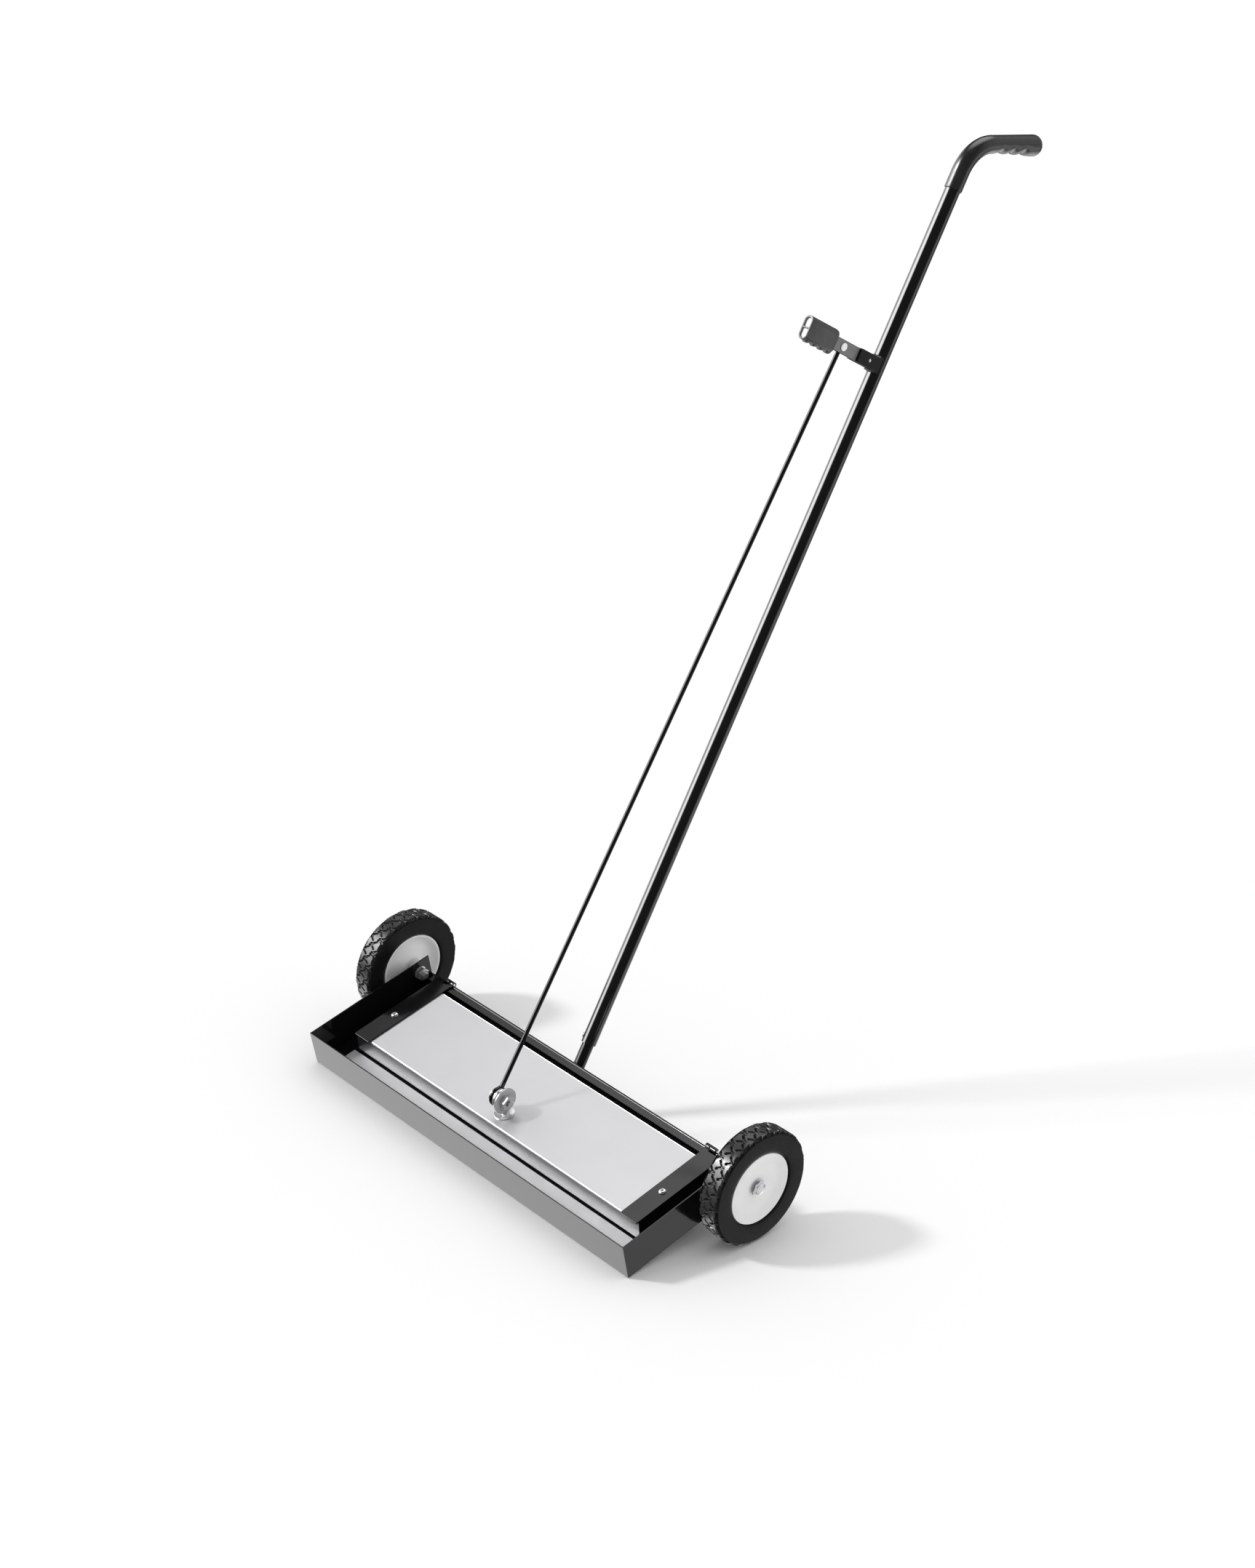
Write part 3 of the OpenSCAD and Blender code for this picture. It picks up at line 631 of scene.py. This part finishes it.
def make_wheels():
    """Tyres, hubs, bushings, and each wheel's axle bolt, nut and washers."""
    verts, faces = tyre_mesh()
    hub = polar(hub_profile(), 96, loop=True)
    boss = 20.3
    bush = ring(5.1, 7.2, -0.1, boss, 0.3, 32)
    hub_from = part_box("hub_right")[0][0] / MM + 1.2
    bolt_r, bolt_bore = 5.0, 5.05
    flange = [(TIP, 1.5), (9.7, 1.5), (10, 1.8), (10, 2.4), (9.2, 3.0), (TIP, 3.4)]
    button = [(TIP, 7.5), (4.8, 7.5), (4.2, 8.05), (TIP, 8.05)]
    shank = [(TIP, 297), (bolt_r, 297), (bolt_r, 342.5), (TIP, 342.5)]
    bolts, nuts, washers = Shape(), Shape(), Shape()
    for side, name in SIDES:
        wheel = CHASSIS @ mirrored(side) @ TO_X
        body = "wheel_" + name
        tyre = piece("tyre_" + name + "_tread", verts, faces, TYRE, body, "tyre_rubber",
                     wheel @ at(0, 0, TYRE_MID), ("tyre_" + name,), sharp=50)
        # Painted highlight: the crown and grooves take the lighter copy of the tyre rubber.
        paint(tyre, TREAD_HIGHLIGHT, is_tread)
        piece("hub_" + name + "_dish", *hub, WHITE, body, "white_plastic",
              wheel @ at(0, 0, hub_from), ("hub_" + name,), sharp=60)
        piece("bushing_" + name + "_sleeve", *bush, STEEL, body, "bushing_steel",
              wheel @ at(0, 0, hub_from), ("bushing_" + name,))

        out = mirrored(side) @ TO_X
        head = out @ at(0, 0, hub_from + boss)
        bolts.add(*polar(flange, 48), head)
        bolts.add(*hexed(15, 3.0, 7.9, both=False), head)
        bolts.add(*polar(button, 32), head)
        bolts.add(*polar(shank, 32), out)
        bolts.add(*threaded(bolt_r, -298.5, -290), out @ turned_to("X", 180))
        nuts.add(*hexed(16.2, 294.5, 302, bore=9.9), out @ turned_to("Z", 12))
        washers.add(*ring(bolt_bore, 11, 0.3, 1.4, 0.25), head)
        washers.add(*ring(bolt_bore, 9.5, 302.05, 303.4, 0.25), out)
    bolts.piece("axle_bolt_pair", ZINC, "chassis", "zinc", CHASSIS, ("axle_bolts",), sharp=30)
    nuts.piece("axle_nut_pair", ZINC, "chassis", "zinc", CHASSIS, ("axle_nuts",), sharp=30)
    washers.piece("axle_washer_set", ZINC, "chassis", "zinc", CHASSIS, ("axle_washers",),
                  sharp=30)


# ---------------------------------------------------------------- magnet unit
def make_cover():
    """A wide channel with a round front bend. Its front skirt runs on under the end caps."""
    front, rear, top, low = -136.0, -8.0, -0.8, -27.3
    sheet_t = 1.5
    half_length, skirt_ends = 270.9, (270.0, 274.2, 274.4)
    # Front face of the skirt and bend, as (distance behind the front, height)
    curve = [(0.0, low), (0.05, -22), (0.3, -17), (0.75, -12.5), (1.2, -8.5), (1.55, -5.5),
             (1.8, -3.7), (2.1, -2.4), (2.6, -1.5), (3.3, -0.98), (4.3, top), (5.3, top)]
    inside = [(front + y + sheet_t, z - sheet_t * min(1, (z - low) / 20))
              for y, z in reversed(curve[:-1])]
    outline = [(front + y, z) for y, z in curve]
    # Points close to both bends keep the wide top's shading flat
    outline.append((rear - 1.5, top))
    outline += rounded([(rear, top), (rear, low), (rear - sheet_t, low),
                        (rear - sheet_t, top - sheet_t)], [0.5, 0.4, 0.4, 0.6], 4)
    outline.append((rear - sheet_t - 1.5, top - sheet_t))
    outline += inside
    cover = Shape()
    cover.add(*loft([[(x, y, z) for y, z in outline] for x in (-half_length, half_length)]))
    skirt = [(front + y + 0.01, z) for y, z in curve[:7]] + inside[5:]
    for side, _ in SIDES:
        cover.add(*loft([[(x * side, y, z) for y, z in skirt] for x in skirt_ends]))
    sheet = cover.piece("magnet_cover_sheet", COVER_METAL, "magnet_unit", "cover_metal",
                        CHASSIS, ("magnet_cover",), sharp=40)
    # Painted shade: the skirt, the same sheet as the top, takes the darker copy of the cover metal.
    paint(sheet, SKIRT_SHADE_METAL, lambda p: p.y < front + 5 and p.z < -4)


def make_floor_sheet():
    """The sheet that closes the tray's bottom: bright ahead of the unit, and painted black under it as painted
    shade, the dark gap below the unit's skirt.
    """
    half, low, high = 282, -32.45, -31.3
    front, painted_shade_from, rear = -182.2, -139.0, 8.3
    corners = ((-half, low), (half, low), (half, high), (-half, high))
    sections = [[(x, y, z) for x, z in corners] for y in (front, painted_shade_from, rear)]
    sheet = piece("floor_sheet", *loft(sections), FLOOR_METAL, "chassis", "polished_steel",
                  CHASSIS, ("floor_plate",), sharp=30, edge=0.2)
    # Painted shade: from under the skirt back, the sheet is black paint, standing in for the shade beneath the
    # unit.
    paint(sheet, BLACK_PAINT, lambda p: p.y > painted_shade_from)


def make_caps():
    """The unit's end caps: top plate with a hinge tongue, side plate and hinge barrel; and the
    screws that hold them."""
    inner, outer, front, rear = 245.05, 274.45, -137.45, 4.75
    tongue_in, tongue_out, tongue_rear = 243.5, 252.2, 9.5
    side_in, side_front, side_rear = 272.6, -134.35, -2.6
    plan = rounded([(inner, front), (outer, front), (outer, rear), (tongue_out, rear),
                    (tongue_out, tongue_rear), (tongue_in, tongue_rear), (tongue_in, rear),
                    (inner, rear)],
                   [0.4, 1.2, 5, 0.3, 0.3, 0.3, 0.3, 0.3], 5)
    wall = [(side_in, side_front), (outer, side_front), (outer, side_rear), (side_in, side_rear)]
    dome = [(4.85, 1.4), (5.0, 1.75), (4.9, 2.3), (4.3, 3.2), (3.4, 3.9), (2.6, 4.15)]

    def socket(angle):
        return hex_reach(1.75, angle)

    head = [(TIP, 1.4)] + dome + [(socket, 4.1), (socket, 2.3), (TIP, 1.9)]
    screws = Shape()
    for side, name in SIDES:
        shell = Shape()
        shell.add(*slab(plan, -0.75, 1.4, 0.35))
        shell.add(*slab(wall, -30.4, 0.3, 0.3))
        shell.add(*ring(2.05, 3.75, 243.45, 252.15, 0.3, 40), at(0, 11, 1) @ TO_X)
        shell.piece("end_cap_shell_" + name, BLACK_PAINT, "magnet_unit", "black_paint",
                    CHASSIS @ mirrored(side), ("end_cap_" + name,), sharp=32)
        spot = at(side * 260, -80, 0)
        screws.add(*polar(head, 48), spot)
        screws.add(*threaded(2.5, -9.0, 1.6, 0.9), spot)
    screws.piece("cap_screw_pair", ZINC, "magnet_unit", "zinc", CHASSIS, ("cap_screws",),
                 sharp=30)


def make_hinge_welds():
    """Beads down both sides and along the foot of each outer knuckle's leaf."""
    inner, outer, y, top, foot = 253.0, 260.6, 12.0, -2.5, -15.5
    for side, name in SIDES:
        beads = Shape()
        beads.add(*weld([(inner, y, top), (inner, y, foot)], 0.8, 1))
        beads.add(*weld([(outer, y, foot), (outer, y, top)], 0.8, 2))
        beads.add(*weld([(inner + 0.2, y, foot - 0.7), (outer, y, foot - 0.7)], 0.8, 3))
        beads.piece("knuckle_weld_" + name, BLACK_PAINT, "chassis", "black_paint",
                    CHASSIS @ mirrored(side))


# ---------------------------------------------------------------- eye bolt and pull rod
def centre_of(node):
    """Middle of a CAD node's box, in metres."""
    low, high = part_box(node)
    return (Vector(low) + Vector(high)) / 2


EYE = Matrix.Translation(centre_of("cross_bolt") * MIDDLE) @ Matrix.Rotation(PITCH, 4, "X")


def make_eye():
    """The eye bolt on the cover, its base disc, and the cross bolt with washers and nut."""
    loop_r, bar_r, steps = 10.5, 3.5, 48
    loop = []
    for i in range(steps):
        angle = math.radians(360 * i / steps)
        loop.append((0, loop_r * math.sin(angle), loop_r * math.cos(angle)))
    neck = [(3.3, -9.0), (3.5, -10.6), (3.9, -12.5), (4.0, -14.5), (3.7, -16.5), (3.6, -19),
            (3.95, -21.5), (3.95, -38), (3.2, -39), (TIP, -39)]
    eye = Shape()
    eye.add(*sweep(loop, bar_r, 20, closed=True, across=Vector((1, 0, 0))))
    eye.add(*polar([(TIP, -9.0)] + neck, 40))
    eye.piece("eye_bolt_forging", ZINC, "magnet_unit", "zinc", EYE, ("eye_bolt",))
    disc = rounded([(4.05, -24.8), (13.7, -24.8), (13.7, -23.2), (9, -22.75), (4.05, -22.6)],
                   [0.2, 0.5, 0.6, 1, 0.2], 3)
    piece("eye_base_disc", *polar(disc, 64, loop=True), WASHER, "magnet_unit", "zinc", EYE,
          ("eye_base_washer",))

    bolt_r, bolt_bore = 5.0, 5.05
    cross = EYE @ TO_X
    bolt = Shape()
    bolt.add(*polar([(TIP, -14), (bolt_r, -14), (bolt_r, 8.2), (TIP, 8.2)], 40))
    bolt.add(*threaded(bolt_r, 7.8, 18.0, 1.5, 40))
    bolt.add(*polar([(TIP, -15.8), (4.5, -15.6), (7.0, -14.7), (8.2, -13.3), (8.3, -12.3),
                     (TIP, -12.3)], 48))
    bolt.piece("cross_bolt_zinc", ZINC, "magnet_unit", "zinc", cross @ turned_to("Z", 30),
               ("cross_bolt",), sharp=30)
    stack = Shape()
    for outer, low, high in ((17.6, 5.8, 7.7), (11, 3.6, 5.7), (12, -4.3, -3.6),
                             (11, -12.2, -10.8)):
        edge = min(0.35, (high - low) * 0.3)
        stack.add(*ring(bolt_bore, outer, low, high, edge, 64))
    stack.piece("cross_washer_stack", WASHER, "magnet_unit", "zinc", cross,
                ("cross_washers",))
    piece("cross_nut_hex", *hexed(17, 7.75, 15.2, bore=9.6), ZINC, "magnet_unit", "zinc",
          cross @ turned_to("Z", 30), ("cross_nut",), sharp=30)


def make_rod():
    """The rod is one length of round bar, bent into a loop beside the eye and a small eye on the lever's pin; a
    weld closes the loop beside the eye."""
    bar_r, loop_r, small_r, small_bar_r = 3.0, 10.5, 4.3, 2.4
    beside_eye = -7.5
    foot = EYE.translation / MM
    foot = Vector((0, foot.y, foot.z))
    top = ROD_PIN / MM
    run = top - foot
    side = Vector((1, 0, 0))
    up = Vector((0, run.y, run.z)).normalized()
    rear = side.cross(up) * -1
    base = foot + side * beside_eye

    def around(centre, radius, degrees):
        angle = math.radians(degrees)
        return centre + up * (radius * math.cos(angle)) + rear * (radius * math.sin(angle))

    rod = Shape()
    loop = [around(base, loop_r, degrees) for degrees in range(8, 353, 8)]
    rod.add(*sweep(loop, bar_r, 18, across=side))
    corners = [around(base, loop_r, 352), around(base, loop_r + 0.8, 357), base + up * 13.2,
               base + up * 18 + side * 0.03, top - up * 16 - side * 0.1, top - up * 8]
    path = []
    for i in range(len(corners) - 1):
        for k in range(6):
            path.append(corners[i].lerp(corners[i + 1], k / 6))
    path.append(corners[-1])
    rod.add(*sweep(path, bar_r, 18, across=side))
    small = [around(top, small_r, degrees) for degrees in range(176, 540, 12)]
    rod.add(*sweep(small, small_bar_r, 14, across=side))
    rod.add(*sweep([top - up * 12, top - up * 8, top - up * 5], [bar_r, 2.9, 2.3], 18,
                   across=side))
    bead = [around(base, loop_r + 1.5, degrees) - side * 1.8 for degrees in (-14, -6, 2, 9)]
    rod.add(*weld(bead, 1.6, 7))
    rod.piece("pull_rod_bar", BLACK_PAINT, "rod", "black_paint", ONE, ("pull_rod",))


# ---------------------------------------------------------------- handle
# Heights up the tube from its lower end
LEVER_AT = 938.4
GRIP_FROM = 1174.0
BEND_AT = 1235.0
# Distance from the tube's centre line out to the lever's pivot
PIVOT_OUT = 29.6
# The bend's corner is BEND_LEG past each end of the bend, and the grip ends past the corner
BEND_R = 55.0
BEND_TURN = math.radians(70)
BEND_LEG = BEND_R * math.tan(BEND_TURN / 2)
GRIP_REACH = 130.0
# Tube frame: origin at the tube's lower end, Z up along it, Y to the rear
TUBE = LEVER @ at(0, PIVOT_OUT, -LEVER_AT)


def along_handle(s):
    """The handle's centre line in the tube's frame and its direction, s from the lower end."""
    bend_from = BEND_AT - BEND_LEG
    bend_length = BEND_R * BEND_TURN
    if s < bend_from:
        return Vector((0, 0, s)), 0.0
    turn = min((s - bend_from) / BEND_R, BEND_TURN)
    point = Vector((0, BEND_R * (1 - math.cos(turn)), bend_from + BEND_R * math.sin(turn)))
    extra = max(s - bend_from - bend_length, 0)
    return point + Vector((0, math.sin(turn), math.cos(turn))) * extra, turn


def grip_section(s, radius, squeeze=0.0):
    """Points round the grip at s along the handle, drawn in on the underside by a squeeze."""
    steps = 40
    centre, turn = along_handle(s)
    side = Vector((1, 0, 0))
    down = Vector((0, math.cos(turn), -math.sin(turn)))
    points = []
    for k in range(steps):
        angle = 2 * math.pi * k / steps
        reach = radius - squeeze * max(math.sin(angle + 0.12), 0) ** 0.8
        points.append(tuple(centre + side * math.cos(angle) * reach
                            + down * math.sin(angle) * reach))
    return points


def make_grip():
    """Moulded grip: three finger hollows on the underside, a slightly fatter rounded tip and a
    thick lip where it ends on the tube."""
    base_r, tip_r, bore_r, tip_length = 11.6, 13.8, 10.3, 9.8
    bend_end = BEND_AT - BEND_LEG + BEND_R * BEND_TURN
    tip = bend_end + GRIP_REACH - BEND_LEG
    hollows = [bend_end - BEND_LEG + n for n in (51.3, 73.0, 94.9)]
    hollow_half = 6.5
    stations = [GRIP_FROM + 0.01, GRIP_FROM + 0.4, GRIP_FROM + 1.2]
    s = GRIP_FROM + 4
    while s < tip - 10:
        stations.append(s)
        s += 1.2 if s > bend_end else 3
    sections = [grip_section(GRIP_FROM + 6, bore_r), grip_section(GRIP_FROM + 0.3, bore_r)]
    for s in stations:
        grow = min(max((s - bend_end) / (tip - tip_length - bend_end), 0), 1)
        radius = base_r + (tip_r - base_r) * grow
        if s < GRIP_FROM + 1:
            radius -= 0.35 if s < GRIP_FROM + 0.2 else 0.1
        squeeze = 0.0
        for n in hollows:
            squeeze += (2.4 + 1.6 * grow) * math.exp(-((s - n) / hollow_half) ** 2)
        sections.append(grip_section(s, radius, squeeze))
    for k in range(1, 9):
        turn = math.radians(90) * k / 8.4
        sections.append(grip_section(tip - tip_length + tip_length * math.sin(turn),
                                     tip_r * math.cos(turn) ** 0.62))
    piece("handle_grip_moulding", *loft(sections), GRIP, "chassis", "black_grip", TUBE,
          ("handle_grip",), sharp=60)


def make_handle_welds():
    """Beads round the stub's foot on the tray, and round the lever's bracket on the tube."""
    foot = []
    for i in range(41):
        angle = math.radians(9 * i)
        foot.append((8.7 * math.cos(angle), 12.1, -14.8 + 12.9 * math.sin(angle)))
    bead = Shape()
    bead.add(*weld(foot, 1.1, 4))
    bead.piece("stub_weld", BLACK_PAINT, "chassis", "black_paint", CHASSIS)

    tube_r_squared = 101
    half_width, half_height = 9.0, 11.0
    beads = Shape()
    for z in (-half_height, half_height):
        run = [(x, -math.sqrt(tube_r_squared - x * x) - 0.2, z)
               for x in np.arange(-8.6, 8.61, 1.72)]
        beads.add(*weld(run, 0.8, z))
    for x in (-half_width, half_width):
        run = [(x, -math.sqrt(tube_r_squared - x * x), z)
               for z in (-half_height, 0.0, half_height)]
        beads.add(*weld(run, 0.6, x))
    beads.piece("bracket_weld", BLACK_PAINT, "chassis", "black_paint",
                TUBE @ at(0, 0, LEVER_AT))


def make_button():
    """The snap button, and the lip round its hole in the tube."""
    place = TUBE @ at(0, 0, 8.5) @ turned_to("Z", -45) @ turned_to("X", 90)
    rings = [(TIP, 3.4), (4.0, 3.4), (4.0, 4.4), (3.0, 4.4), (3.0, 10.6), (2.85, 11.3),
             (2.3, 11.8), (1.4, 12.1), (TIP, 12.2)]
    piece("snap_button_dome", *polar(rings, 32), ZINC, "button", "zinc", place,
          ("snap_button",), sharp=40)
    piece("button_hole_lip", *ring(3.2, 4.1, 9.3, 10.1, 0.3, 32), TUBE_PAINT, "chassis",
          "black_paint", place)


# ---------------------------------------------------------------- lever
def oval(height, width, steps=20):
    """A stadium outline with its long way along Z."""
    r, straight = width / 2, height / 2 - width / 2
    out = []
    for start, middle in ((0, straight), (math.pi, -straight)):
        for k in range(steps + 1):
            angle = start + math.pi * k / steps
            out.append((r * math.cos(angle), middle + r * math.sin(angle)))
    return out


def make_lever_grip(place):
    """An oval sleeve with a web across its open end, four finger lobes below and a fine
    parting line down each side."""
    height, width, end = 31, 14, 156.9
    # (distance out from the tube, inset) from the inner end to the open one
    outer = [(98.05, 3.6), (98.3, 2.3), (99.2, 1.1), (100.6, 0.35), (102.5, 0.02), (156.3, 0.02),
             (156.85, 0.25), (156.98, 0.6), (156.98, 2.1), (156.6, 2.45), (149, 2.45)]
    lobe_rings = [(TIP, -4.9), (2.6, -4.8), (4.0, -4.2), (4.8, -2.9), (5.0, -1.4), (5.0, 1.4),
                  (4.8, 2.9), (4.0, 4.2), (2.6, 4.8), (TIP, 4.9)]
    grip = Shape()
    grip.add(*loft([[(x, -out, z) for x, z in oval(height - 2 * inset, width - 2 * inset)]
                    for out, inset in outer]))
    grip.add(*slab([(-5.2, -end), (5.2, -end), (5.2, -148), (-5.2, -148)], -0.85, 0.85, 0.2))
    for out in (103.4, 117.5, 132.0, 147.2):
        grip.add(*polar(lobe_rings, 32), at(0, -out, -11.9) @ TO_X)
    for x in (-6.95, 6.95):
        grip.add(*slab([(x - 0.16, -156.4), (x + 0.16, -156.4), (x + 0.16, -99.5),
                        (x - 0.16, -99.5)], -0.16, 0.16, 0.06))
    grip.piece("lever_grip_moulding", LEVER_GRIP, "lever", "black_grip", place,
               ("lever_grip",), sharp=38)


def make_lever():
    """The lever's grip with its light core, and the cap and seat of the rod's pin."""
    place = TUBE @ at(0, 0, LEVER_AT)
    make_lever_grip(place)
    core = Shape()
    for side, _ in SIDES:
        cell = rounded([(-4.5, 1.1 * side), (4.5, 1.1 * side), (4.5, 12.9 * side),
                        (-4.5, 12.9 * side)], [0.5, 0.5, 4.2, 4.2], 6)
        core.add(*loft([[(x, -out, z) for x, z in cell] for out in (101, 154.3, 154.6)]))
    core.piece("grip_core_cells", WHITE, "lever", "white_plastic", place, ("grip_core",), sharp=50)

    cap = [(TIP, 4.9), (3.4, 4.9), (5.0, 5.0), (5.2, 5.3), (5.2, 6.2), (4.9, 6.7), (4.0, 7.0),
           (2.0, 7.1), (TIP, 7.1)]
    piece("rod_pin_cap_dome", *polar(cap, 40), WHITE, "lever", "white_plastic",
          place @ at(0, -82, 0) @ TO_X, ("rod_pin_cap",), sharp=50)
    seat = [(2.9, 4.95), (5.5, 4.95), (5.7, 5.1), (5.6, 5.3), (2.9, 5.3)]
    piece("rod_pin_seat", *polar(seat, 40, loop=True), BLACK_PAINT, "lever", "black_paint",
          place @ at(0, -82.2, 0) @ TO_X)


# ---------------------------------------------------------------- CAD nodes that stay
# Finish and width in millimetres of the rounding on each one's edges
STAYING = {
    "tray_pan": (BLACK_PAINT, 0.3),
    "hinge_knuckles": (BLACK_PAINT, 0.3),
    "handle_stub": (BLACK_PAINT, 0.25),
    "handle_tube": (TUBE_PAINT, 0.25),
    "lever_bracket": (BRACKET_PAINT, 0.6),
    "lever_bar": (GREY_PAINT, 0.35),
    "magnet_back_bar": (STEEL, 0.3),
    "bar_magnets": (MAGNET, 0.5),
    "cap_nuts": (ZINC, 0.3),
    "eye_nut": (ZINC, 0.3),
    "hinge_pins": (ZINC, 0.2),
    "lever_pivot_pin": (ZINC, 0.2),
    "rod_pin": (ZINC, 0.3),
    "button_spring": (STEEL, 0.1),
    "axle_spacers": (ZINC, 0.2),
}


def finish_nodes():
    """A finish for every CAD node, and rounded edges for those that stay in view."""
    for name, node in frame["nodes"].items():
        material, edge = STAYING.get(name, (BLACK_PAINT, 0))
        node.data.materials.clear()
        node.data.materials.append(material)
        if name in STAYING:
            smooth(node, 32, edge)


make_camera()
make_studio()
make_floor()
make_wheels()
make_cover()
make_floor_sheet()
make_caps()
make_hinge_welds()
make_eye()
make_rod()
make_grip()
make_handle_welds()
make_button()
make_lever()
finish_nodes()
